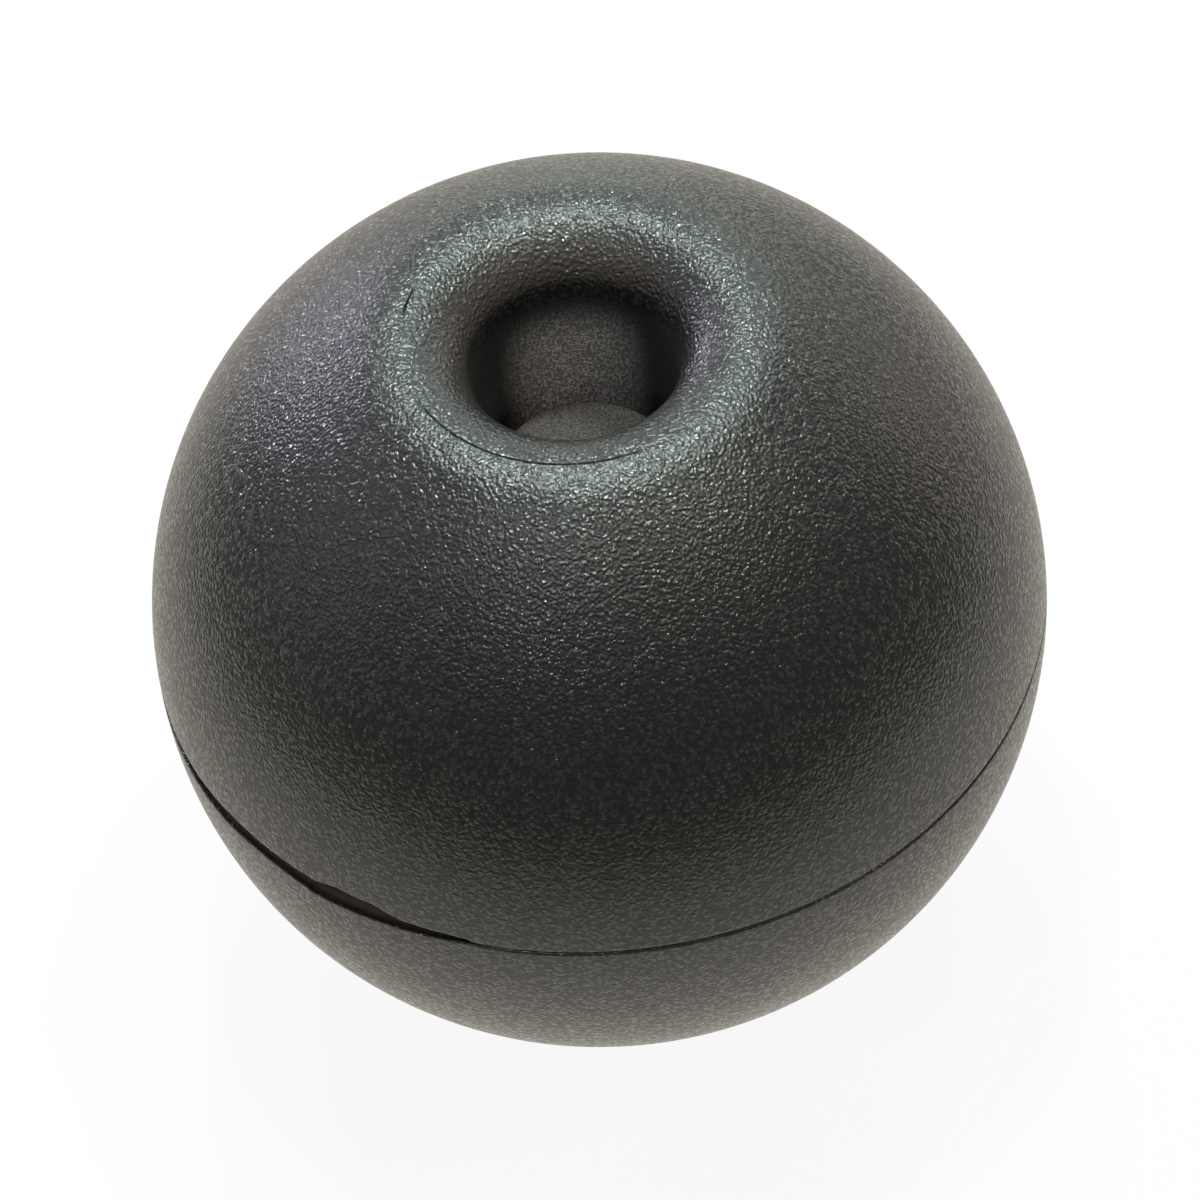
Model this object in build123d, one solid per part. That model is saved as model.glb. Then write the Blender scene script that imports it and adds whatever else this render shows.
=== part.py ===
from build123d import *

import math
import os

# Ball knob moulded in two halves. All sizes are in millimetres and angles in degrees.
# Heights in the sections are measured from the ball's centre, where the two halves meet.
# The finished pieces are raised so that the bottom of the ball is at height zero.
# Azimuths turn anticlockwise from +X, seen from above.

# Ball and wall
ball_radius = 20.0
wall = 2.4

# Mouth: a straight bore that flares out to a crest, and a rounded lip from the crest to the ball
bore_radius = 4.5
flare_radius = 3.0
lip_radius = 4.0
socket_depth = 9.0

# Post that stands in the bore, and the slot left round it
post_slot = 0.6
post_draft = 0.4
post_edge = 0.12
post_foot = 1.0
bore_land_gap = 0.2

# Sleeve that carries the bore down into the ball
relief_step = 0.3
sleeve_wall = 2.2
sleeve_draft = 0.8
sleeve_reach = 2.0
sleeve_seat_gap = 0.05

# Joint between the halves: a tongue on the lower one in a rebate of the upper one
joint_gap = 0.06
rim_edge = 0.06
rebate_depth = 2.0
tongue_wall = 1.15
tongue_side_gap = 0.08
tongue_end_gap = 0.15
tongue_edge = 0.25

# Ribs inside both halves
rib_count = 6
rib_thickness = 1.5
rib_draft = 0.5
rib_embed = 0.8
upper_rib_setback = 3.0
fin_height = 4.0
fin_side_gap = 0.08

# Where the joint stands open: each rim falls away from the middle of the ball on this side
upper_gape_azimuth = -130.0
upper_gape_half_angle = 30.0
upper_gape_height = 0.34
upper_gape_step_azimuth = -111.0
lower_gape_azimuth = -170.0
lower_gape_half_angle = 58.0
lower_gape_height = 0.82

# Chip out of the two rims
chip_azimuth = -127.0
chip_length = 5.2
chip_top_length = 1.9
chip_top_offset = 0.1
chip_rise = 0.68
chip_shoulder_rise = 0.05
chip_drop_left = 0.75
chip_drop_right = 0.3

# Sizes that follow from those above
post_radius = bore_radius - post_slot
crest_radius = bore_radius + flare_radius
lip_centre_height = math.sqrt((ball_radius - lip_radius) ** 2 - crest_radius**2)
lip_tangent_angle = math.degrees(math.atan2(lip_centre_height, crest_radius))
crest_height = lip_centre_height + lip_radius
flare_start = crest_height - flare_radius
ceiling_height = crest_height - wall
post_top = crest_height - socket_depth
bore_end = post_top + bore_land_gap
sleeve_end = -sleeve_reach
ledge_height = sleeve_end - sleeve_seat_gap
fin_top = ledge_height + fin_height
relief_radius = bore_radius + relief_step
sleeve_draft_slope = math.tan(math.radians(sleeve_draft))
relief_end_radius = relief_radius + (bore_end - sleeve_end) * sleeve_draft_slope
sleeve_top_radius = bore_radius + wall
sleeve_end_radius = bore_radius + sleeve_wall - (flare_start - sleeve_end) * sleeve_draft_slope / 2
inner_radius = ball_radius - wall
rim_height = joint_gap / 2
tongue_outer_radius = inner_radius + tongue_wall
rebate_radius = tongue_outer_radius + tongue_side_gap
tongue_top = rebate_depth - tongue_end_gap
fin_radius = relief_radius + (bore_end - fin_top) * sleeve_draft_slope - fin_side_gap
rib_free_radius = inner_radius + rib_embed


def sphere_angle(radius, height):
    """Angle above the joint plane of the point at this height on a sphere about the centre."""
    return math.degrees(math.asin(height / radius))


def sphere_point(radius, height):
    """Distance from the axis and height of that point."""
    return (math.sqrt(radius**2 - height**2), height)


def sphere_arc(radius, start, end):
    """Stretch of the ball's section between two angles above the joint plane."""
    return CenterArc((0, 0), radius, start, end - start)


def turn(edges):
    """Solid of revolution of a closed section drawn as distance from the axis and height."""
    section = make_face(Curve() + edges)
    return revolve(Plane.XZ * section, Axis.Z, 360)


def rib_bars(root_height, free_height):
    """Tapered bars along the ribs' directions, thinner at the free height than at the root."""
    taper = abs(free_height - root_height) * math.tan(math.radians(rib_draft))
    root_half = rib_thickness / 2
    free_half = root_half - taper
    outline = Polyline(
        (-root_half, root_height),
        (root_half, root_height),
        (free_half, free_height),
        (-free_half, free_height),
        close=True,
    )
    bar = extrude(Plane.YZ * make_face(outline), ball_radius)
    return [Rot(0, 0, 360 * index / rib_count) * bar for index in range(rib_count)]


def gape_cutter(azimuth, half_angle, height, side):
    """Block whose tilted face shaves a rim: deepest at the azimuth, nothing at the half angle."""
    hinge = ball_radius * math.cos(math.radians(half_angle))
    tilt = math.degrees(math.atan2(height, ball_radius - hinge))
    size = 4 * ball_radius
    block = Pos(0, 0, -side * size / 2) * Box(size, size, size)
    return Rot(0, 0, azimuth) * Pos(hinge, 0, 0) * Rot(0, -side * tilt, 0) * block


def rim_ring(start, span):
    """Sector of the ring that holds both rims outside the tongue."""
    outline = Polyline(
        (tongue_outer_radius, -rebate_depth),
        (ball_radius + wall, -rebate_depth),
        (ball_radius + wall, rebate_depth),
        (tongue_outer_radius, rebate_depth),
        close=True,
    )
    return Rot(0, 0, start) * revolve(Plane.XZ * make_face(outline), Axis.Z, span)


def chip_cutter():
    """Prism of the chip's outline, sunk from outside the ball to the tongue's face."""
    half = chip_length / 2
    top_half = chip_top_length / 2
    outline = Polyline(
        (-half, -chip_drop_left),
        (half, -chip_drop_right),
        (half, chip_shoulder_rise),
        (chip_top_offset + top_half, chip_rise),
        (chip_top_offset - top_half, chip_rise),
        (-half, chip_shoulder_rise),
        close=True,
    )
    place = Plane(origin=(inner_radius, 0, 0), x_dir=(0, 1, 0), z_dir=(1, 0, 0))
    prism = extrude(place * make_face(outline), ball_radius - inner_radius + wall)
    return rim_ring(0, 360) & Rot(0, 0, chip_azimuth) * prism


def upper_half():
    """Domed half with the mouth, its sleeve, the ribs and the rebate."""
    rim_radius = sphere_point(ball_radius, rim_height)[0]
    rim_break = sphere_point(ball_radius, rim_height + rim_edge)
    rebate_edge = sphere_point(inner_radius, rebate_depth)
    ceiling_edge = sphere_point(inner_radius, ceiling_height)
    edges = [
        Line((rim_radius - rim_edge, rim_height), rim_break),
        sphere_arc(ball_radius, sphere_angle(ball_radius, rim_break[1]), lip_tangent_angle),
        CenterArc((crest_radius, lip_centre_height), lip_radius, lip_tangent_angle, 90 - lip_tangent_angle),
        CenterArc((crest_radius, flare_start), flare_radius, 90, 90),
        Line((bore_radius, flare_start), (bore_radius, bore_end)),
        Line((bore_radius, bore_end), (relief_radius, bore_end)),
        Line((relief_radius, bore_end), (relief_end_radius, sleeve_end)),
        Line((relief_end_radius, sleeve_end), (sleeve_end_radius, sleeve_end)),
        Line((sleeve_end_radius, sleeve_end), (sleeve_top_radius, ceiling_height)),
        Line((sleeve_top_radius, ceiling_height), ceiling_edge),
        sphere_arc(
            inner_radius,
            sphere_angle(inner_radius, ceiling_height),
            sphere_angle(inner_radius, rebate_depth),
        ),
        Line(rebate_edge, (rebate_radius, rebate_depth)),
        Line((rebate_radius, rebate_depth), (rebate_radius, rim_height)),
        Line((rebate_radius, rim_height), (rim_radius - rim_edge, rim_height)),
    ]
    shell = turn(edges)
    sleeve_side = sleeve_end_radius - rib_embed / 2
    rib_root_height = ceiling_height + rib_embed
    zone = [
        Line((sleeve_side, upper_rib_setback), sphere_point(rib_free_radius, upper_rib_setback)),
        sphere_arc(
            rib_free_radius,
            sphere_angle(rib_free_radius, upper_rib_setback),
            sphere_angle(rib_free_radius, rib_root_height),
        ),
        Line(sphere_point(rib_free_radius, rib_root_height), (sleeve_side, rib_root_height)),
        Line((sleeve_side, rib_root_height), (sleeve_side, upper_rib_setback)),
    ]
    ribs = turn(zone)
    bars = rib_bars(crest_height, upper_rib_setback)
    half = shell + [ribs & bar for bar in bars]
    sector = rim_ring(upper_gape_step_azimuth - 180, 180)
    shave = gape_cutter(upper_gape_azimuth, upper_gape_half_angle, upper_gape_height, 1)
    return half - (sector & shave) - chip_cutter()


def lower_half():
    """Plain domed half with the tongue, the ribs that carry the sleeve, and the central post."""
    rim_radius = sphere_point(ball_radius, rim_height)[0]
    rim_break = sphere_point(ball_radius, rim_height + rim_edge)
    root_height = math.sqrt(inner_radius**2 - post_radius**2)
    root_radius = post_radius + (post_top + root_height) * math.tan(math.radians(post_draft))
    root = sphere_point(inner_radius, math.sqrt(inner_radius**2 - root_radius**2))
    edges = [
        sphere_arc(ball_radius, -90, -sphere_angle(ball_radius, rim_break[1])),
        Line((rim_break[0], -rim_break[1]), (rim_radius - rim_edge, -rim_height)),
        Line((rim_radius - rim_edge, -rim_height), (tongue_outer_radius, -rim_height)),
        Line((tongue_outer_radius, -rim_height), (tongue_outer_radius, tongue_top - tongue_edge)),
        Line((tongue_outer_radius, tongue_top - tongue_edge), (tongue_outer_radius - tongue_edge, tongue_top)),
        Line((tongue_outer_radius - tongue_edge, tongue_top), (inner_radius, tongue_top)),
        Line((inner_radius, tongue_top), (inner_radius, 0)),
        sphere_arc(inner_radius, 0, -sphere_angle(inner_radius, root[1])),
        Line((root[0], -root[1]), (post_radius, post_top - post_edge)),
        Line((post_radius, post_top - post_edge), (post_radius - post_edge, post_top)),
        Line((post_radius - post_edge, post_top), (0, post_top)),
        Line((0, post_top), (0, -ball_radius)),
    ]
    section = make_face(Curve() + edges)
    foot = section.vertices().sort_by_distance((root[0], -root[1]))[0]
    section = chamfer(foot, post_foot)
    shell = revolve(Plane.XZ * section, Axis.Z, 360)
    post_side = post_radius - rib_embed
    zone = [
        Line((post_side, fin_top), (fin_radius, fin_top)),
        Line((fin_radius, fin_top), (fin_radius, ledge_height)),
        Line((fin_radius, ledge_height), sphere_point(rib_free_radius, ledge_height)),
        sphere_arc(
            rib_free_radius,
            sphere_angle(rib_free_radius, ledge_height),
            -math.degrees(math.acos(post_side / rib_free_radius)),
        ),
        Line((post_side, -math.sqrt(rib_free_radius**2 - post_side**2)), (post_side, fin_top)),
    ]
    ribs = turn(zone)
    bars = rib_bars(-ball_radius, fin_top)
    half = shell + [ribs & bar for bar in bars]
    sector = rim_ring(0, 360)
    shave = gape_cutter(lower_gape_azimuth, lower_gape_half_angle, lower_gape_height, -1)
    return half - (sector & shave) - chip_cutter()


pieces = {
    "upper_half": upper_half(),
    "lower_half": lower_half(),
}

os.makedirs("parts", exist_ok=True)
for name, piece in pieces.items():
    placed = Pos(0, 0, ball_radius) * piece
    placed.label = name
    export_step(placed, f"parts/{name}.step")
    print(name, "volume", round(placed.volume, 1), "valid", placed.is_valid, "faces", len(placed.faces()))
print("bore wall from", round(ball_radius + bore_end, 3), "to", round(ball_radius + flare_start, 3))
print("post top at", round(ball_radius + post_top, 3), "lip crest at", round(ball_radius + crest_height, 3))
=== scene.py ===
# %% [markdown]
# # A moulded ball knob
#
# The knob is a black plastic ball, 40 mm across, moulded in two hollow halves that are bonded together. A flared round
# mouth on top leads into a plain bore, and the flat top of a post shows at the bottom of it. This lesson dresses the
# measured model of the knob: it loads that model, makes a finer surface for each half with numpy, and gives the halves
# the fine pebbled grain of a spark-eroded mould.

import math

import bmesh
import bpy
import numpy as np
from mathutils import Matrix, Vector


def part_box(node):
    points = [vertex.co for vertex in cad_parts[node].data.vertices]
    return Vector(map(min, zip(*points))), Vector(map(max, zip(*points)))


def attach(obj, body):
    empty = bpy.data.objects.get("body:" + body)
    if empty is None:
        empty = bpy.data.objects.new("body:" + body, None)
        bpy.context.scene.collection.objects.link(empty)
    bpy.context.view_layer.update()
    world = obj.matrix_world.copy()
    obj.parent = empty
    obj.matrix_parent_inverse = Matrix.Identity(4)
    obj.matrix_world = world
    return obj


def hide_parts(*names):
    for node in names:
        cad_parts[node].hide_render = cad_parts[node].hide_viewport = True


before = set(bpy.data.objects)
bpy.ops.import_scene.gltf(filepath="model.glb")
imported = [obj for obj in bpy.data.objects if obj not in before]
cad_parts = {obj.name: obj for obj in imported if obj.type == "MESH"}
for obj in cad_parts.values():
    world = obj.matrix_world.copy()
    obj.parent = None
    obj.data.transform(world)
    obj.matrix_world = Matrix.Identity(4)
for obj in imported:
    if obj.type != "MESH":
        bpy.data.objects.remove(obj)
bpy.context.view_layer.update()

# %% [markdown]
# ## The sizes
#
# The drawing of a turned or domed part is read from its centre line, so every size here is a distance from the axis or
# a height above the ball's centre, in millimetres. The ball's own radius comes from the model's box. The rest repeats
# the named sizes of the model, and the last lines work out where the lip touches the ball and how high its crest is.

# %% Sizes of the ball, the mouth and the post
MM = 0.001
low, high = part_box("upper_half")
BALL_RADIUS = round((high[0] - low[0]) / 2 / MM, 2)
WALL = 2.4
BORE_RADIUS = 4.5
FLARE_RADIUS = 3.0
LIP_RADIUS = 4.0
SOCKET_DEPTH = 9.0
POST_RADIUS = BORE_RADIUS - 0.6
POST_DRAFT = math.tan(math.radians(0.4))
POST_EDGE = 0.12
POST_FOOT = 1.0
BORE_LAND_GAP = 0.2
CREST_RADIUS = BORE_RADIUS + FLARE_RADIUS
LIP_CENTRE_HEIGHT = math.sqrt((BALL_RADIUS - LIP_RADIUS) ** 2 - CREST_RADIUS**2)
LIP_TANGENT = math.atan2(LIP_CENTRE_HEIGHT, CREST_RADIUS)
CREST_HEIGHT = LIP_CENTRE_HEIGHT + LIP_RADIUS
FLARE_START = CREST_HEIGHT - FLARE_RADIUS
CEILING_HEIGHT = CREST_HEIGHT - WALL
POST_TOP = CREST_HEIGHT - SOCKET_DEPTH
BORE_END = POST_TOP + BORE_LAND_GAP
WALL_END = POST_TOP - 1.2
print("ball radius", BALL_RADIUS, "mm, lip crest", round(CREST_HEIGHT, 2), "mm above the centre")

# %% Sizes of the sleeve, the joint and the ribs
RELIEF_RADIUS = BORE_RADIUS + 0.3
SLEEVE_SLOPE = math.tan(math.radians(0.8))
SLEEVE_END = -2.0
LEDGE_HEIGHT = SLEEVE_END - 0.05
RELIEF_END_RADIUS = RELIEF_RADIUS + (BORE_END - SLEEVE_END) * SLEEVE_SLOPE
SLEEVE_TOP_RADIUS = BORE_RADIUS + WALL
SLEEVE_END_RADIUS = BORE_RADIUS + 2.2 - (FLARE_START - SLEEVE_END) * SLEEVE_SLOPE / 2
INNER_RADIUS = BALL_RADIUS - WALL
RIM_HEIGHT = 0.03
REBATE_DEPTH = 2.0
TONGUE_RADIUS = INNER_RADIUS + 1.15
TONGUE_TOP = REBATE_DEPTH - 0.15
TONGUE_EDGE = 0.25
REBATE_RADIUS = TONGUE_RADIUS + 0.08
RIB_COUNT = 6
RIB_THICKNESS = 1.5
RIB_SLOPE = math.tan(math.radians(0.5))
RIB_EMBED = 0.8
RIB_REACH = INNER_RADIUS + RIB_EMBED
RIB_ROOT = CEILING_HEIGHT + RIB_EMBED
UPPER_RIB_SETBACK = 3.0
FIN_TOP = LEDGE_HEIGHT + 4.0
FIN_RADIUS = RELIEF_RADIUS + (BORE_END - FIN_TOP) * SLEEVE_SLOPE - 0.08
print("post top", round(POST_TOP, 2), "mm, sleeve end", SLEEVE_END, "mm")

# %% [markdown]
# ## Where the joint stands open
#
# On one side of this knob the halves don't close: both rims fall away, and a chip is broken out of them. A rim is
# drawn as a height that depends on the azimuth. Each fall is the height of a tilted plane where it cuts the rim, which
# is a cosine less its value at the half angle. The chip is a flat-topped bump with sloping shoulders. A few small
# waves make the edge uneven, as a torn or badly filled edge is.

# %% Sizes of the open joint and the chip
CHIP_AZIMUTH = -127.0
STEP_AZIMUTH = -111.0
STEP_HALF_WIDTH = 0.35
OPEN_MIDDLE = -155.0
OPEN_HALF_ANGLE = 49.0
OPEN_FULL_ANGLE = 43.0
# A plane's cut has a middle and half angle in degrees and a height in millimetres. A swell has a width for the half
# angle.
UPPER_FALL = (-130.0, 28.0, 0.27)
UPPER_SAG = (-178.0, 30.0, 0.3)
LOWER_FALL = (-172.0, 60.0, 0.83)
LOWER_SWELL = (-142.5, 6.5, 0.22)
# A chip's corners are distances along the rim and heights, in millimetres.
UPPER_CHIP = [(-2.9, 0.0), (-2.2, 0.24), (-1.35, 0.5), (-0.9, 0.6), (0.95, 0.6), (2.1, 0.3), (2.9, 0.0)]
LOWER_CHIP = [(-2.75, 0.0), (-2.6, 0.55), (-2.2, 0.54), (0.0, 0.38), (2.0, 0.2), (2.6, 0.0)]
# The waves and the rounded edges have one size where the joint is closed, and where it stands open the second number
# is added to it.
UPPER_WAVES = (0.012, 0.023)
LOWER_WAVES = (0.010, 0.015)
UPPER_EDGE = (0.14, 0.04)
LOWER_EDGE = (0.14, -0.08)
UPPER_SEED = 3
LOWER_SEED = 8
WAVE_RATIO = 1.45
WAVE_FALL = 0.8
print("joint open for", 2 * OPEN_HALF_ANGLE, "degrees round azimuth", OPEN_MIDDLE)


# %% Heights of the two rims
def wrapped(degrees):
    """Angle brought between -180 and 180 degrees."""
    return (degrees + 180) % 360 - 180


def smooth_step(value, start, end):
    """Rises from 0 at the start to 1 at the end as 3t squared less 2t cubed."""
    t = np.clip((value - start) / (end - start), 0, 1)
    return t * t * (3 - 2 * t)


def stretch(azimuth, middle, full_angle, half_angle):
    """1 up to the full angle to either side of a middle, and 0 past the half angle."""
    return smooth_step(-np.abs(wrapped(azimuth - middle)), -half_angle, -full_angle)


def tilted_cut(azimuth, middle, half_angle, height):
    """Height of a plane's cut round the rim: (cos a - cos h) / (1 - cos h) times the height, and never below 0."""
    edge = math.cos(math.radians(half_angle))
    return height * np.clip((np.cos(np.radians(azimuth - middle)) - edge) / (1 - edge), 0, None)


def swell(azimuth, middle, width, height):
    """Bell-shaped rise round one azimuth: the height times e to the power of minus the offset in widths squared."""
    return height * np.exp(-((wrapped(azimuth - middle) / width) ** 2))


def ripple(azimuth, seed, waves=9, longest=5.0):
    """Sum of sines of falling size whose lengths shrink by a third each time, about 1 at most."""
    draw = np.random.default_rng(seed)
    order = np.arange(waves)
    cycles = np.round(360 / longest * WAVE_RATIO**order)
    phase = draw.uniform(0, 2 * np.pi, waves)
    size = WAVE_FALL**order
    return (np.sin(np.radians(azimuth)[..., None] * cycles + phase) * size).sum(-1) / size.sum()


def chip_height(azimuth, corners):
    """Height of the chip at an azimuth: straight lines between its corners, along the rim from the chip's middle."""
    along = np.radians(wrapped(azimuth - CHIP_AZIMUTH)) * BALL_RADIUS
    return np.interp(along, *zip(*corners))


def by_openness(azimuth, size):
    """The size's first number where the joint is closed, and the sum of both where it stands open."""
    closed, change = size
    return closed + change * stretch(azimuth, OPEN_MIDDLE, OPEN_FULL_ANGLE, OPEN_HALF_ANGLE)


def upper_rim(azimuth):
    """Height of the upper half's rim above the joint plane."""
    fall = tilted_cut(azimuth, *UPPER_FALL)
    fall = fall * smooth_step(-wrapped(azimuth - STEP_AZIMUTH), -STEP_HALF_WIDTH, STEP_HALF_WIDTH)
    rough = by_openness(azimuth, UPPER_WAVES) * ripple(azimuth, UPPER_SEED)
    return RIM_HEIGHT + np.maximum(fall, chip_height(azimuth, UPPER_CHIP)) - tilted_cut(azimuth, *UPPER_SAG) + rough


def lower_rim(azimuth):
    """Height of the lower half's rim below the joint plane."""
    fall = tilted_cut(azimuth, *LOWER_FALL) - swell(azimuth, *LOWER_SWELL)
    rough = by_openness(azimuth, LOWER_WAVES) * ripple(azimuth, LOWER_SEED)
    return RIM_HEIGHT + np.maximum(fall, chip_height(azimuth, LOWER_CHIP)) + rough


degrees = np.linspace(-180, 180, 1441)
print("upper rim from", upper_rim(degrees).min().round(3), "to", upper_rim(degrees).max().round(3), "mm")
print("lower rim from", lower_rim(degrees).min().round(3), "to", lower_rim(degrees).max().round(3), "mm")

# %% [markdown]
# ## The witness line
#
# The mouth's inside is shaped by a separate core of the mould. Where the core meets the cavity, along the crest of the
# mouth, the plastic keeps a hair-thin line. It is a groove in the section, 0.12 mm wide, that is deep on the near side,
# comes up again as a short dash on the left, and fades elsewhere.

# %% Depth of the witness line
WITNESS_HALF_WIDTH = 0.06
WITNESS_DEPTH = 0.07
WITNESS_NEAR = (-112, 34, 50)
WITNESS_DASH = (158, 3, 8)
WITNESS_DASH_SHARE = 1.3
WITNESS_WAVES = 0.35
WITNESS_LONGEST = 14.0
WITNESS_SEED = 21


def witness_depth(azimuth):
    """Depth of the groove along the crest, from two stretches that fade out at their ends."""
    line_share = np.maximum(stretch(azimuth, *WITNESS_NEAR), WITNESS_DASH_SHARE * stretch(azimuth, *WITNESS_DASH))
    rough = 1 + WITNESS_WAVES * ripple(azimuth, WITNESS_SEED, longest=WITNESS_LONGEST)
    return WITNESS_DEPTH * line_share * rough


print("witness line up to", witness_depth(degrees).max().round(3), "mm deep")

# %% [markdown]
# ## Surfaces of revolution as grids
#
# A turned surface is a grid: one direction runs round the axis, and the other along the section. Blender's Spin or
# Screw could turn a section that is the same all round, but these rims change with the azimuth, so each row of the
# grid is computed for all azimuths at once. The azimuths lie closer together where the joint is open, because the
# chip's edges need more points there than the plain dome does.


# %% Azimuths, closer together at the open joint
AZIMUTH_COUNT = 620
CROWDING = 4.0
CROWDED_WIDTH = 24
FINE_COUNT = 7201


def azimuth_row(count, crowding):
    """Azimuths in degrees, which near the chip lie closer together by the crowding."""
    fine = np.linspace(-180, 180, FINE_COUNT)
    near = swell(fine, CHIP_AZIMUTH, CROWDED_WIDTH, 1)
    total = np.concatenate([[0], np.cumsum(1 + (crowding - 1) * near[:-1])])
    return np.interp(np.linspace(0, 1, count, endpoint=False), total / total[-1], fine)


AZIMUTHS = azimuth_row(AZIMUTH_COUNT, CROWDING)
steps = np.diff(AZIMUTHS)
print(len(AZIMUTHS), "azimuths,", steps.min().round(3), "to", steps.max().round(3), "degrees apart")


# %% Rows of the section
SAME_PLACE = 1e-6
RIM_ROWS = 5
UPPER_BALL_ROWS = 30
UPPER_BALL_EASING = 1.6
LIP_ROWS = 14
FLARE_ROWS = 26
WALL_ROWS = 3
UPPER_INSIDE_ROWS = 16
LOWER_BALL_ROWS = 40
LOWER_BALL_EASING = 1.5
LOWER_INSIDE_ROWS = 18
POST_EDGE_ROWS = 5
UPPER_RIB_CORNERS = 12
LOWER_RIB_CORNERS = 14


def row(radius, height):
    """One row of the grid: distance from the axis and height, the same or different at each azimuth."""
    return np.broadcast_to(radius, AZIMUTHS.shape), np.broadcast_to(height, AZIMUTHS.shape)


def arc(centre_radius, centre_height, radius, start, end, count, easing=1.0):
    """Rows along a circular arc in the section; easing above 1 crowds the rows towards the start."""
    share = np.linspace(0, 1, count)[:, None] ** easing
    angle = start + (end - start) * share
    shape = (count, len(AZIMUTHS))
    r = np.broadcast_to(centre_radius + radius * np.cos(angle), shape)
    z = np.broadcast_to(centre_height + radius * np.sin(angle), shape)
    return r, z


def line(start, end, count=2):
    """Rows along a straight line of the section, from one row to the other."""
    share = np.linspace(0, 1, count)[:, None]
    return tuple((1 - share) * a + share * b for a, b in zip(row(*start), row(*end)))


def stack(*parts):
    """All rows of a section, one under the other, each row that repeats the one before it left out."""
    rows = [(np.atleast_2d(r), np.atleast_2d(z)) for r, z in parts]
    r, z = np.concatenate([r for r, z in rows]), np.concatenate([z for r, z in rows])
    moved = (np.abs(np.diff(r, axis=0)) + np.abs(np.diff(z, axis=0))).max(axis=1) > SAME_PLACE
    keep = np.concatenate([[True], moved])
    return r[keep], z[keep]


def sphere_radius_at(radius, height):
    """Distance from the axis of a sphere about the ball's centre, at a height."""
    return np.sqrt(radius**2 - height**2)


# %% From rows to a closed mesh
def turned_mesh(r, z, closed):
    """Points and faces of the grid: x = r cos a, y = r sin a, z = z, closed round the axis.

    The section runs anticlockwise, so that the faces point out of the plastic. A closed section also joins its last
    row to its first. A row at the axis is one point there, and its faces are triangles.
    """
    angle = np.radians(AZIMUTHS)
    points = np.stack([r * np.cos(angle), r * np.sin(angle), z], -1)
    index = np.arange(r.size).reshape(r.shape)
    poles = np.flatnonzero(r.max(axis=1) < SAME_PLACE)
    index[poles] = index[poles][:, :1]
    lower = index if closed else index[:-1]
    upper = np.roll(index, -1, axis=0) if closed else index[1:]
    faces = np.stack([lower, np.roll(lower, -1, axis=1), np.roll(upper, -1, axis=1), upper], -1).reshape(-1, 4)
    at_bottom = faces[:, 0] == faces[:, 1]
    at_top = faces[:, 2] == faces[:, 3]
    quads = faces[~at_bottom & ~at_top]
    triangles = np.concatenate([faces[at_bottom][:, [1, 2, 3]], faces[at_top][:, [0, 1, 2]]])
    return points.reshape(-1, 3), quads, triangles


# %% [markdown]
# ## The ribs
#
# Six ribs stiffen each hollow half. None of them shows from outside, but the halves are the real parts, so they are
# there. A rib is a flat plate whose outline lies in a plane through the axis. Its sides lean together by half a degree
# so that the moulding leaves the mould, and its outer edge is sunk into the shell.


# %% A rib from its outline
def rib_plates(r, z, root_height):
    """Points and faces of one plate round the axis for each rib; r and z go once round the outline.

    Half the thickness falls off with the distance from the root's height, so that each side stays flat.
    """
    half = RIB_THICKNESS / 2 - np.abs(z - root_height) * RIB_SLOPE
    turn = np.radians(np.arange(RIB_COUNT) * 360 / RIB_COUNT)[:, None]
    sides = []
    for side in (-1, 1):
        x = r * np.cos(turn) - side * half * np.sin(turn)
        y = r * np.sin(turn) + side * half * np.cos(turn)
        sides.append(np.stack([x, y, np.broadcast_to(z, x.shape)], -1))
    count = len(r)
    points = np.stack(sides, 1).reshape(-1, 3)
    corner = np.arange(count)
    following = np.roll(corner, -1)
    edge = np.stack([corner, corner + count, following + count, following], -1)
    offsets = np.arange(RIB_COUNT) * 2 * count
    caps = [list(offset + corner) for offset in offsets]
    caps += [list(offset + count + corner[::-1]) for offset in offsets]
    bands = (offsets[:, None, None] + edge).reshape(-1, 4)
    return points, bands, caps


# %% Make a Blender object
SHARP_ANGLE = math.radians(38)


def add_piece(name, node, shell, ribs):
    """Mesh object of the shell and its ribs, in metres and raised so that the ball stands on the floor."""
    points, quads, triangles = shell
    rib_points, bands, caps = ribs
    offset = len(points)
    everything = np.concatenate([points, rib_points]) * MM
    everything[:, 2] += BALL_RADIUS * MM
    faces = quads.tolist() + triangles.tolist() + (bands + offset).tolist()
    faces += [[int(corner) + offset for corner in cap] for cap in caps]
    mesh = bpy.data.meshes.new(name)
    mesh.from_pydata(everything, [], faces)
    work = bmesh.new()
    work.from_mesh(mesh)
    bmesh.ops.delete(work, geom=[v for v in work.verts if not v.link_faces], context="VERTS")
    work.to_mesh(mesh)
    work.free()
    mesh.shade_smooth()
    mesh.set_sharp_from_angle(angle=SHARP_ANGLE)
    piece = bpy.data.objects.new(name, mesh)
    bpy.context.scene.collection.objects.link(piece)
    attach(piece, "root")
    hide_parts(node)
    print(name, len(mesh.vertices), "points,", len(mesh.polygons), "faces")
    return piece


# %% Upper half
def rounded_rim(height, rounding, side):
    """Rows of the rounded edge between a flat rim and the ball: a quarter circle, from the rim to the ball."""
    middle = height + rounding
    centre = sphere_radius_at(BALL_RADIUS, middle) - rounding
    angle = np.linspace(-np.pi / 2, 0, RIM_ROWS)[:, None]
    return centre + rounding * np.cos(angle), side * (middle + rounding * np.sin(angle))


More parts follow.
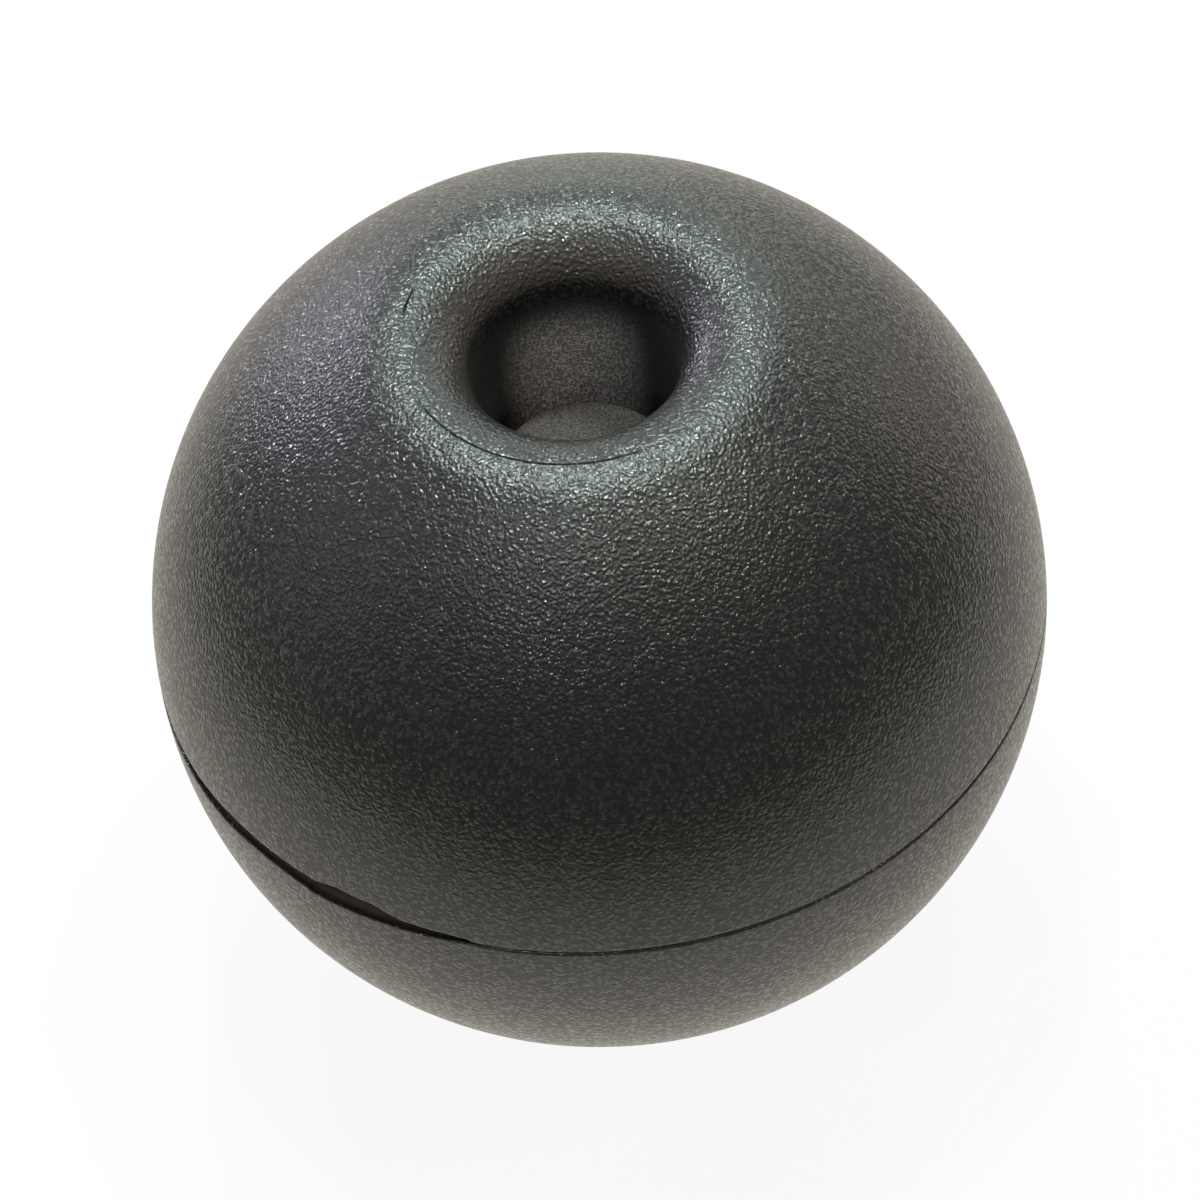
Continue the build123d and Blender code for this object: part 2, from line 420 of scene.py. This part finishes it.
def witness_groove():
    """Rows of the groove along the crest: its outer edge, its bottom and its inner edge."""
    outer = CREST_RADIUS + WITNESS_HALF_WIDTH
    inner = CREST_RADIUS - WITNESS_HALF_WIDTH
    outer_height = LIP_CENTRE_HEIGHT + math.sqrt(LIP_RADIUS**2 - WITNESS_HALF_WIDTH**2)
    inner_height = FLARE_START + math.sqrt(FLARE_RADIUS**2 - WITNESS_HALF_WIDTH**2)
    bottom = CREST_HEIGHT - witness_depth(AZIMUTHS)
    return stack(row(outer, outer_height), row(CREST_RADIUS, bottom), row(inner, inner_height))


def upper_shell():
    """Section of the upper half: rim, ball, lip, flare, bore, sleeve, then back inside the wall to the rebate."""
    rim = upper_rim(AZIMUTHS)
    rounding = by_openness(AZIMUTHS, UPPER_EDGE)
    start = np.arcsin((rim + rounding) / BALL_RADIUS)
    outer_gap = math.asin(WITNESS_HALF_WIDTH / LIP_RADIUS)
    inner_gap = math.asin(WITNESS_HALF_WIDTH / FLARE_RADIUS)
    ceiling_angle = math.asin(CEILING_HEIGHT / INNER_RADIUS)
    rebate_angle = math.asin(REBATE_DEPTH / INNER_RADIUS)
    r, z = stack(
        rounded_rim(rim, rounding, 1),
        arc(0, 0, BALL_RADIUS, start, LIP_TANGENT, UPPER_BALL_ROWS, UPPER_BALL_EASING),
        arc(CREST_RADIUS, LIP_CENTRE_HEIGHT, LIP_RADIUS, LIP_TANGENT, math.pi / 2 - outer_gap, LIP_ROWS),
        witness_groove(),
        arc(CREST_RADIUS, FLARE_START, FLARE_RADIUS, math.pi / 2 + inner_gap, math.pi, FLARE_ROWS),
        line((BORE_RADIUS, FLARE_START), (BORE_RADIUS, WALL_END), WALL_ROWS),
        row(RELIEF_RADIUS + (BORE_END - WALL_END) * SLEEVE_SLOPE, WALL_END),
        row(RELIEF_END_RADIUS, SLEEVE_END),
        row(SLEEVE_END_RADIUS, SLEEVE_END),
        row(SLEEVE_TOP_RADIUS, CEILING_HEIGHT),
        arc(0, 0, INNER_RADIUS, ceiling_angle, rebate_angle, UPPER_INSIDE_ROWS),
        row(REBATE_RADIUS, REBATE_DEPTH),
        row(REBATE_RADIUS, rim),
    )
    return turned_mesh(r, z, closed=True)


def upper_ribs():
    """Outline of an upper rib: between the sleeve and the dome, from the setback up into the wall."""
    bottom, top = math.asin(UPPER_RIB_SETBACK / RIB_REACH), math.asin(RIB_ROOT / RIB_REACH)
    dome = np.linspace(bottom, top, UPPER_RIB_CORNERS)
    sleeve_side = SLEEVE_END_RADIUS - RIB_EMBED / 2
    r = np.concatenate([[sleeve_side], RIB_REACH * np.cos(dome), [sleeve_side]])
    z = np.concatenate([[UPPER_RIB_SETBACK], RIB_REACH * np.sin(dome), [RIB_ROOT]])
    return rib_plates(r, z, CREST_HEIGHT)


upper_half = add_piece("knob_upper_half", "upper_half", upper_shell(), upper_ribs())


# %% Lower half
def lower_shell():
    """Section of the lower half: from the bottom pole up the ball, over the rim and tongue, inside, and up the post."""
    rim = lower_rim(AZIMUTHS)
    rounding = by_openness(AZIMUTHS, LOWER_EDGE)
    start = -np.arcsin((rim + rounding) / BALL_RADIUS)
    ball_r, ball_z = arc(0, 0, BALL_RADIUS, start, -math.pi / 2, LOWER_BALL_ROWS, LOWER_BALL_EASING)
    ball_r = np.concatenate([ball_r[:-1], np.zeros((1, len(AZIMUTHS)))])
    rim_r, rim_z = rounded_rim(rim, rounding, -1)
    foot = math.sqrt(INNER_RADIUS**2 - POST_RADIUS**2)
    foot_radius = POST_RADIUS + (POST_TOP + foot) * POST_DRAFT
    foot_angle = math.acos((foot_radius + POST_FOOT) / INNER_RADIUS)
    r, z = stack(
        (ball_r[::-1], ball_z[::-1]),
        (rim_r[::-1], rim_z[::-1]),
        row(TONGUE_RADIUS, -rim),
        row(TONGUE_RADIUS, TONGUE_TOP - TONGUE_EDGE),
        row(TONGUE_RADIUS - TONGUE_EDGE, TONGUE_TOP),
        row(INNER_RADIUS, TONGUE_TOP),
        arc(0, 0, INNER_RADIUS, 0, -foot_angle, LOWER_INSIDE_ROWS),
        row(foot_radius, -foot + POST_FOOT),
        row(POST_RADIUS, POST_TOP - POST_EDGE),
        arc(POST_RADIUS - POST_EDGE, POST_TOP - POST_EDGE, POST_EDGE, 0, math.pi / 2, POST_EDGE_ROWS),
        row(0.0, POST_TOP),
    )
    return turned_mesh(r, z, closed=False)


def lower_ribs():
    """Outline of a lower rib: from the post to the dome, with a fin that rises beside the post."""
    post_side = POST_RADIUS - RIB_EMBED
    top, bottom = math.asin(LEDGE_HEIGHT / RIB_REACH), -math.acos(post_side / RIB_REACH)
    dome = np.linspace(top, bottom, LOWER_RIB_CORNERS)
    r = np.concatenate([RIB_REACH * np.cos(dome)[::-1], [FIN_RADIUS, FIN_RADIUS, post_side]])
    z = np.concatenate([RIB_REACH * np.sin(dome)[::-1], [LEDGE_HEIGHT, FIN_TOP, FIN_TOP]])
    return rib_plates(r, z, -BALL_RADIUS)


lower_half = add_piece("knob_lower_half", "lower_half", lower_shell(), lower_ribs())

# %% [markdown]
# ## The grained plastic
#
# The mould is spark-eroded, which leaves a fine pebbled grain a quarter to a third of a millimetre across. It is far
# too fine for mesh points, so it is a bump on the plastic's surface: Voronoi cells make round pebbles, and soft noise
# makes them uneven. The pebbles' tops are glossier than the valleys, so each lamp shows as a scatter of beads, and the
# grain flattens towards the joint. The tops' lighter black is a painted highlight and the valleys' darker black painted
# shade. The bore is shaped by a core with a finer grain. Its far wall is painted a pale grey pool of light with lit
# beads, which fades out to the top and the sides, and the far side of the flare above it is painted a lighter grey for
# light. The post's flat top is almost smooth and painted grey for the light on it, and the inside of the open joint is
# smooth and painted a lighter brown for light in its shade. One material holds all of this, and masks on Object
# coordinates say where each finish and each painted light lies.


# %% Small helpers for material nodes
def node(tree, kind, **sockets):
    """New node of a kind, with the values of its named inputs."""
    made = tree.nodes.new(kind)
    for name, value in sockets.items():
        made.inputs[name.replace("_", " ")].default_value = value
    return made


def feed(tree, value, socket):
    """Gives an input its value: a link where the value is a socket, and a constant otherwise."""
    if isinstance(value, bpy.types.NodeSocket):
        tree.links.new(value, socket)
    else:
        socket.default_value = value


def computed(tree, kind, operation, values, output):
    """Output of a node that computes with its inputs in order; each value is a socket or a constant."""
    made = node(tree, kind)
    made.operation = operation
    for value, socket in zip(values, made.inputs):
        feed(tree, value, socket)
    return made.outputs[output]


def maths(tree, operation, *values):
    """Result of a Math node."""
    return computed(tree, "ShaderNodeMath", operation, values, "Value")


def vector_maths(tree, operation, *values, output="Vector"):
    """Result of a Vector Math node: its output Value where the operation gives a number."""
    return computed(tree, "ShaderNodeVectorMath", operation, values, output)


def both(tree, first, second):
    """Product of two masks: 1 only where both are."""
    return maths(tree, "MULTIPLY", first, second)


def step_mask(tree, value, start, end):
    """Smooth rise from 0 where a value is at the start, to 1 where it is at the end."""
    span = node(tree, "ShaderNodeMapRange", From_Min=start, From_Max=end)
    span.interpolation_type = "SMOOTHSTEP"
    tree.links.new(value, span.inputs["Value"])
    return span.outputs["Result"]


def distance_mask(tree, distance, fade):
    """Step mask of a distance, whose start and end are given in millimetres."""
    start, end = fade
    return step_mask(tree, distance, start * MM, end * MM)


def height_mask(tree, height, fade):
    """Step mask of the height above the floor, whose start and end are given in millimetres above the joint."""
    start, end = fade
    return step_mask(tree, height, (BALL_RADIUS + start) * MM, (BALL_RADIUS + end) * MM)


def blend(tree, share, below, above, kind="FLOAT"):
    """The first value where the share is 0 and the second where it is 1; each is a socket, a number or a colour."""
    mix = node(tree, "ShaderNodeMix")
    mix.data_type = kind
    wanted = "VALUE" if kind == "FLOAT" else kind
    sockets = [s for s in mix.inputs if s.type == wanted and s.name in "AB"]
    tree.links.new(share, mix.inputs[0])
    for value, socket in zip((below, above), sockets):
        feed(tree, value, socket)
    return next(s for s in mix.outputs if s.type == wanted)


def soft_noise(tree, place, scale, detail=0.0, output="Fac"):
    """Noise of one size on Object coordinates; the scale is the number of grains in a metre."""
    noise = node(tree, "ShaderNodeTexNoise", Scale=scale, Detail=detail)
    tree.links.new(place, noise.inputs["Vector"])
    return noise.outputs[output]


# %% Values of the plastic and its grain
PLASTIC_IOR = 1.6
PLASTIC_ROUGHNESS = 0.42
CORE_ROUGHNESS = 0.55
COAT_ROUGHNESS = 0.09
COAT_IN_VALLEYS = 0.35
COAT_IN_CORE = 0.5
GRAIN_SCALE = 6600
PEBBLE_SCALE = 4000
PEBBLE_EDGE = 0.64
PEBBLE_MIDDLE = 0.18
PEBBLE_DRIFT_SCALE = 2600
PEBBLE_DRIFT = 0.0003
PEBBLE_SHARE = 0.5
CORE_GRAIN_SCALE = 8200
CORE_GRAIN_DETAIL = 0.5
POST_GRAIN_SCALE = 9500
POST_GRAIN_DETAIL = 1.0
# Shares of the core's and the post's grain that are painted as lit beads on the far wall and the post's top.
WALL_LIT_BEADS = (0.36, 0.80)
POST_LIGHT_SPECKLE = (0.25, 0.75)
GRAIN_DEPTH = 0.000045
GRAIN_AT_JOINT = 0.50
GRAIN_INSIDE = 0.1
GRAIN_ON_POST = 0.3
# Painted shade and highlight: the grain's valleys are a darker black and the pebbles' tops a lighter one.
VALLEY_BLACK_PAINTED_SHADE = (0.0068, 0.0067, 0.0067, 1)
TOP_BLACK_PAINTED_LIGHT = (0.0160, 0.0157, 0.0157, 1)
# Painted light: the far side of the flare above the bore is a lighter grey.
FLARE_PAINTED_LIGHT = (0.048, 0.039, 0.035, 1)
# Painted light: a pale grey pool on the bore's far wall, with lit grey beads and darker grey between them.
WALL_PAINTED_LIGHT = (0.95, 0.94, 0.92, 1)
WALL_PAINTED_SHADE = (0.27, 0.267, 0.26, 1)
# Painted light: the smooth inside of the open joint is a lighter brown for the light in its shade.
INSIDE_PAINTED_LIGHT = (0.125, 0.102, 0.094, 1)
# Painted light: the post's up-facing top is grey, speckled with darker grey, for the light falling on it.
POST_PAINTED_LIGHT = (0.155, 0.130, 0.123, 1)
POST_PAINTED_SHADE = (0.026, 0.021, 0.020, 1)
print("grain of", GRAIN_SCALE, "to the metre,", GRAIN_DEPTH * 1e6, "micrometres deep")

# %% Where each finish and each painted light lies
# A fade says where a mask starts and where it is full, in millimetres: above the joint for the heights, from the axis
# for the radii, from the ball's centre for the depth, and along a direction for the sides.
BORE_TOP_HEIGHT = (FLARE_START + 0.5, FLARE_START - 0.2)
BORE_BOTTOM_HEIGHT = (WALL_END - 0.4, WALL_END)
CORE_RADIUS = (BORE_RADIUS + 1.0, BORE_RADIUS + 0.5)
POST_TOP_RADIUS = (POST_RADIUS + 0.35, POST_RADIUS + 0.2)
# Where the pool of painted light lies on the bore's far wall.
LIT_WALL_SIDE = (2.9, 4.6)
LIT_WALL_HEIGHT = (FLARE_START + 0.2, FLARE_START - 2.6)
# Where the far side of the flare is painted lighter for light.
LIT_FLARE_HEIGHT = (FLARE_START + 0.9, FLARE_START + 1.4)
LIT_FLARE_RADIUS = (BORE_RADIUS + 2.2, BORE_RADIUS + 0.6)
LIT_FLARE_DIRECTION = (-0.5, 0.87, 0)
LIT_FLARE_SIDE = (-0.5, 3.5)
INSIDE_DEPTH = (BALL_RADIUS - 0.15, BALL_RADIUS - 0.5)
INSIDE_HEIGHT = (7.0, 6.0)
FULL_GRAIN_HEIGHT = (0.0, 17.0)


def finish_masks(tree, place):
    """Masks by name of the finishes and painted light, from the height and the distances to the axis and the centre."""
    split = node(tree, "ShaderNodeSeparateXYZ")
    tree.links.new(place, split.inputs[0])
    height = split.outputs["Z"]
    radius = vector_maths(tree, "LENGTH", vector_maths(tree, "MULTIPLY", place, (1, 1, 0)), output="Value")
    from_centre = vector_maths(tree, "DISTANCE", place, (0, 0, BALL_RADIUS * MM), output="Value")
    across = vector_maths(tree, "DOT_PRODUCT", place, LIT_FLARE_DIRECTION, output="Value")
    deep = both(tree, height_mask(tree, height, BORE_TOP_HEIGHT), height_mask(tree, height, BORE_BOTTOM_HEIGHT))
    core = both(tree, deep, distance_mask(tree, radius, CORE_RADIUS))
    # Painted light: the far side of the bore below the flare, where the pool of light is painted.
    lit_far_side = both(tree, distance_mask(tree, split.outputs["Y"], LIT_WALL_SIDE), height_mask(tree, height, LIT_WALL_HEIGHT))
    # Painted light: the flare's far side, painted a lighter grey.
    ring = both(
        tree,
        height_mask(tree, height, LIT_FLARE_HEIGHT),
        distance_mask(tree, radius, LIT_FLARE_RADIUS),
    )
    inside = both(tree, distance_mask(tree, from_centre, INSIDE_DEPTH), height_mask(tree, height, INSIDE_HEIGHT))
    return {
        "core": core,
        "post": both(tree, deep, distance_mask(tree, radius, POST_TOP_RADIUS)),
        "painted_wall_light": both(tree, core, lit_far_side),
        "flare": both(tree, ring, distance_mask(tree, across, LIT_FLARE_SIDE)),
        "inside": inside,
        "full_grain": height_mask(tree, height, FULL_GRAIN_HEIGHT),
    }


# %% Grained plastic
def pebble_tops(tree, place):
    """Share of the top of each round pebble: cells of Voronoi distance, moved a little by slow noise."""
    drift = soft_noise(tree, place, PEBBLE_DRIFT_SCALE, output="Color")
    moved = vector_maths(tree, "MULTIPLY_ADD", drift, (PEBBLE_DRIFT,) * 3, place)
    cells = node(tree, "ShaderNodeTexVoronoi", Scale=PEBBLE_SCALE)
    tree.links.new(moved, cells.inputs["Vector"])
    return step_mask(tree, cells.outputs["Distance"], PEBBLE_EDGE, PEBBLE_MIDDLE)


def knob_colour(tree, masks, pebbled, core_grain, post_grain):
    """Base colour: pebbles with painted shade and highlight, under painted light on flare, inside, wall and post."""
    painted_wall_light = blend(tree, step_mask(tree, core_grain, *WALL_LIT_BEADS), WALL_PAINTED_SHADE, WALL_PAINTED_LIGHT, "RGBA")
    post = blend(tree, step_mask(tree, post_grain, *POST_LIGHT_SPECKLE), POST_PAINTED_SHADE, POST_PAINTED_LIGHT, "RGBA")
    colour = blend(tree, pebbled, VALLEY_BLACK_PAINTED_SHADE, TOP_BLACK_PAINTED_LIGHT, "RGBA")
    for name, above in (("flare", FLARE_PAINTED_LIGHT), ("inside", INSIDE_PAINTED_LIGHT), ("painted_wall_light", painted_wall_light), ("post", post)):
        colour = blend(tree, masks[name], colour, above, "RGBA")
    return colour


def grain_normal(tree, masks, fine_grain, pebbled, core_grain, post_grain):
    """Normal of the bumped surface: pebbles with fine grain on them, and the finer grains of the core and the post."""
    domes = maths(tree, "MULTIPLY_ADD", pebbled, PEBBLE_SHARE, fine_grain)
    grain = blend(tree, masks["core"], domes, core_grain)
    grain = blend(tree, masks["post"], grain, maths(tree, "MULTIPLY", post_grain, GRAIN_ON_POST))
    strength = blend(tree, masks["full_grain"], GRAIN_AT_JOINT, 1.0)
    strength = blend(tree, masks["inside"], strength, GRAIN_INSIDE)
    bump = node(tree, "ShaderNodeBump", Distance=GRAIN_DEPTH)
    tree.links.new(strength, bump.inputs["Strength"])
    tree.links.new(grain, bump.inputs["Height"])
    return bump.outputs["Normal"]


def grained_plastic():
    """Black plastic with the pebbled grain, the bore's finer grain, and painted light on flare, wall, post and inside.
    """
    material = bpy.data.materials.new("black_grained_plastic")
    material.use_nodes = True
    tree = material.node_tree
    shader = tree.nodes["Principled BSDF"]
    shader.inputs["IOR"].default_value = PLASTIC_IOR
    shader.inputs["Coat Roughness"].default_value = COAT_ROUGHNESS
    place = node(tree, "ShaderNodeTexCoord").outputs["Object"]
    masks = finish_masks(tree, place)
    pebbled = pebble_tops(tree, place)
    core_grain = soft_noise(tree, place, CORE_GRAIN_SCALE, CORE_GRAIN_DETAIL)
    post_grain = soft_noise(tree, place, POST_GRAIN_SCALE, POST_GRAIN_DETAIL)
    fine_grain = soft_noise(tree, place, GRAIN_SCALE)
    coat = blend(tree, masks["core"], blend(tree, pebbled, COAT_IN_VALLEYS, 1.0), COAT_IN_CORE)
    normal = grain_normal(tree, masks, fine_grain, pebbled, core_grain, post_grain)
    results = {
        "Base Color": knob_colour(tree, masks, pebbled, core_grain, post_grain),
        "Roughness": blend(tree, masks["core"], PLASTIC_ROUGHNESS, CORE_ROUGHNESS),
        "Coat Weight": blend(tree, masks["inside"], coat, 0.0),
        "Normal": normal,
        "Coat Normal": normal,
    }
    for name, result in results.items():
        tree.links.new(result, shader.inputs[name])
    return material


plastic = grained_plastic()
for piece in (upper_half, lower_half):
    piece.data.materials.append(plastic)
print(plastic.name, "of", len(plastic.node_tree.nodes), "nodes")

# %% [markdown]
# ## The studio
#
# The ball stands on a white floor. The ball's glossy skin shows a painted reflection of it: to glossy rays the floor
# glows as a warm sheet of paper on a black table, reaching further behind the ball than in front of it, and glowing
# the same in the ball's shadow. That makes the band above the joint dark and the underside light. To the camera nearly
# all of the floor's brightness is a glow, so that it stays white, and the small rest keeps the ball's soft shadow.

# %% Floor
FLOOR_HALF_WIDTH = 0.6
FLOOR_WHITE = (0.78, 0.78, 0.77, 1)
# The painted reflection: a sheet that glows to glossy rays, with a black table round it.
SHEET_HALF_WIDTH = 0.110
SHEET_FRONT = -0.078
SHEET_FRONT_FADE = 0.055
SHEET_BACK = 0.190
SHEET_FADE = 0.040
PAPER_GLOW_IN_REFLECTIONS = (0.72, 0.68, 0.60, 1)
TABLE_DARK_IN_REFLECTIONS = (0, 0, 0, 1)
CAMERA_WHITE = (1, 1, 1, 1)
CAMERA_GLOW = 0.92


def between(tree, value, start, end, start_fade, end_fade):
    """Mask of a value between a start and an end, each a soft edge that reaches its fade to both sides."""
    risen = step_mask(tree, value, start - start_fade, start + start_fade)
    return both(tree, risen, step_mask(tree, value, end + end_fade, end - end_fade))


def floor_material():
    """White floor that glows white to the camera, and glows to glossy rays as a painted reflection of paper on a table.
    """
    material = bpy.data.materials.new("floor_white_paper")
    material.use_nodes = True
    tree = material.node_tree
    shader = tree.nodes["Principled BSDF"]
    shader.inputs["Base Color"].default_value = FLOOR_WHITE
    shader.inputs["Roughness"].default_value = 1.0
    shader.inputs["Specular IOR Level"].default_value = 0.0
    split = node(tree, "ShaderNodeSeparateXYZ")
    tree.links.new(node(tree, "ShaderNodeTexCoord").outputs["Object"], split.inputs[0])
    across = between(tree, split.outputs["X"], -SHEET_HALF_WIDTH, SHEET_HALF_WIDTH, SHEET_FADE, SHEET_FADE)
    along = between(tree, split.outputs["Y"], SHEET_FRONT, SHEET_BACK, SHEET_FRONT_FADE, SHEET_FADE)
    # Painted reflection: the sheet's glow that glossy rays see, black round it.
    reflection_glow = blend(tree, both(tree, across, along), TABLE_DARK_IN_REFLECTIONS, PAPER_GLOW_IN_REFLECTIONS, "RGBA")
    path = node(tree, "ShaderNodeLightPath")
    glow = node(tree, "ShaderNodeEmission", Strength=1.0)
    seen = blend(tree, path.outputs["Is Camera Ray"], reflection_glow, CAMERA_WHITE, "RGBA")
    tree.links.new(seen, glow.inputs["Color"])
    share = maths(tree, "MULTIPLY", path.outputs["Is Camera Ray"], CAMERA_GLOW)
    share = maths(tree, "MAXIMUM", share, path.outputs["Is Glossy Ray"])
    share = maths(tree, "MAXIMUM", share, path.outputs["Is Transmission Ray"])
    mix = node(tree, "ShaderNodeMixShader")
    for socket, result in zip(mix.inputs, (share, shader.outputs[0], glow.outputs[0])):
        tree.links.new(result, socket)
    tree.links.new(mix.outputs[0], tree.nodes["Material Output"].inputs["Surface"])
    return material


def add_floor():
    """Square floor at height zero."""
    half = FLOOR_HALF_WIDTH
    mesh = bpy.data.meshes.new("floor")
    corners = [(-half, -half, 0), (half, -half, 0), (half, half, 0), (-half, half, 0)]
    mesh.from_pydata(corners, [], [(0, 1, 2, 3)])
    mesh.materials.append(floor_material())
    plane = bpy.data.objects.new("floor", mesh)
    bpy.context.scene.collection.objects.link(plane)


add_floor()
print("floor", 2 * FLOOR_HALF_WIDTH, "m wide, sheet", 2 * SHEET_HALF_WIDTH, "m wide")

# %% Camera
CAMERA_DISTANCE = 22.0
CAMERA_ELEVATION = math.radians(50.1)
CAMERA_ROLL = math.radians(5.95)
SENSOR_WIDTH = 36.0
NEAREST_SEEN = 0.01
PHOTO_SIZE = 1200
BALL_IN_PHOTO = (599.4, 599.7)
OUTLINE_RADIUS = 447.5


def photo_camera():
    """Camera at the photograph's angle: 22 ball radii away, 50 degrees up, and rolled by 6 degrees."""
    focal_pixels = OUTLINE_RADIUS * math.sqrt(CAMERA_DISTANCE**2 - 1)
    lens = bpy.data.cameras.new("photo_camera")
    lens.sensor_fit = "HORIZONTAL"
    lens.sensor_width = SENSOR_WIDTH
    lens.lens = focal_pixels / PHOTO_SIZE * SENSOR_WIDTH
    lens.shift_x = (PHOTO_SIZE / 2 - BALL_IN_PHOTO[0]) / PHOTO_SIZE
    lens.shift_y = (BALL_IN_PHOTO[1] - PHOTO_SIZE / 2) / PHOTO_SIZE
    lens.clip_start = NEAREST_SEEN
    camera = bpy.data.objects.new("photo_camera", lens)
    bpy.context.scene.collection.objects.link(camera)
    away = np.array([0, -math.cos(CAMERA_ELEVATION), math.sin(CAMERA_ELEVATION)])
    level_up = np.array([0, math.sin(CAMERA_ELEVATION), math.cos(CAMERA_ELEVATION)])
    level_right = np.array([1.0, 0, 0])
    right = math.cos(CAMERA_ROLL) * level_right - math.sin(CAMERA_ROLL) * level_up
    up = math.sin(CAMERA_ROLL) * level_right + math.cos(CAMERA_ROLL) * level_up
    place = np.eye(4)
    place[:3, 0], place[:3, 1], place[:3, 2] = right, up, away
    place[:3, 3] = np.array([0, 0, BALL_RADIUS]) * MM + away * CAMERA_DISTANCE * BALL_RADIUS * MM
    camera.matrix_world = Matrix(place.tolist())
    bpy.context.scene.camera = camera
    print("camera with a", round(lens.lens, 1), "mm lens,", CAMERA_DISTANCE, "ball radii away")


photo_camera()

# %% [markdown]
# ## The light
#
# The room is dim and plain, so most light comes from round lamps. Four green-white lamps overhead draw the sparkling
# ring on the mouth's lip. Wide soft lamps low behind the ball and at its sides light the limbs, two small violet ones
# at the back left tint that side, and two small warm ones in front raise the beads of the front.

# %% World and lamps
ROOM_GREY = (0.15, 0.145, 0.145, 1)
LAMP_DISTANCE = 0.8
scene = bpy.context.scene
scene.view_settings.view_transform = "Standard"
world = bpy.data.worlds.new("studio")
scene.world = world
world.use_nodes = True
world.node_tree.nodes["Background"].inputs["Color"].default_value = ROOM_GREY
world.node_tree.nodes["Background"].inputs["Strength"].default_value = 1.0


def studio_lamp(name, azimuth, elevation, width, power, colour):
    """Round lamp that faces the ball from a direction given in degrees, with its width in metres and power in watts."""
    lamp = bpy.data.lights.new(name, "AREA")
    lamp.shape = "DISK"
    lamp.size = width
    lamp.energy = power
    lamp.color = colour
    holder = bpy.data.objects.new(name, lamp)
    scene.collection.objects.link(holder)
    a, e = math.radians(azimuth), math.radians(elevation)
    direction = Vector((math.cos(e) * math.cos(a), math.cos(e) * math.sin(a), math.sin(e)))
    holder.location = direction * LAMP_DISTANCE + Vector((0, 0, BALL_RADIUS * MM))
    holder.rotation_euler = direction.to_track_quat("Z", "Y").to_euler()
    holder.visible_camera = False
    print(name, "from azimuth", azimuth, "and elevation", elevation)


studio_lamp("overhead", 108, 82, 0.09, 2.45, (0.84, 1.00, 0.90))
studio_lamp("overhead_right", 36, 70, 0.10, 1.75, (0.88, 1.00, 0.90))
studio_lamp("overhead_back", 90, 58, 0.10, 1.95, (0.74, 1.00, 0.98))
studio_lamp("overhead_back_left", 120, 58, 0.10, 1.12, (0.93, 1.00, 0.98))
studio_lamp("soft_back", 90, 2, 0.42, 1.02, (0.92, 1.00, 0.90))
studio_lamp("soft_back_right", 60, 24, 0.42, 0.92, (0.92, 1.00, 0.91))
studio_lamp("soft_right", 30, 2, 0.42, 0.78, (1.00, 0.88, 0.81))
studio_lamp("violet_low_left", 135, 12, 0.11, 0.92, (0.84, 0.80, 1.00))
studio_lamp("violet_low_back", 120, 8, 0.11, 0.62, (0.89, 0.86, 1.00))
studio_lamp("soft_left", 180, 24, 0.42, 0.36, (1.00, 0.86, 0.86))
studio_lamp("front_left", -120, 58, 0.08, 0.68, (1.00, 0.90, 0.88))
studio_lamp("front_right", -30, 58, 0.08, 0.60, (1.00, 0.86, 0.72))
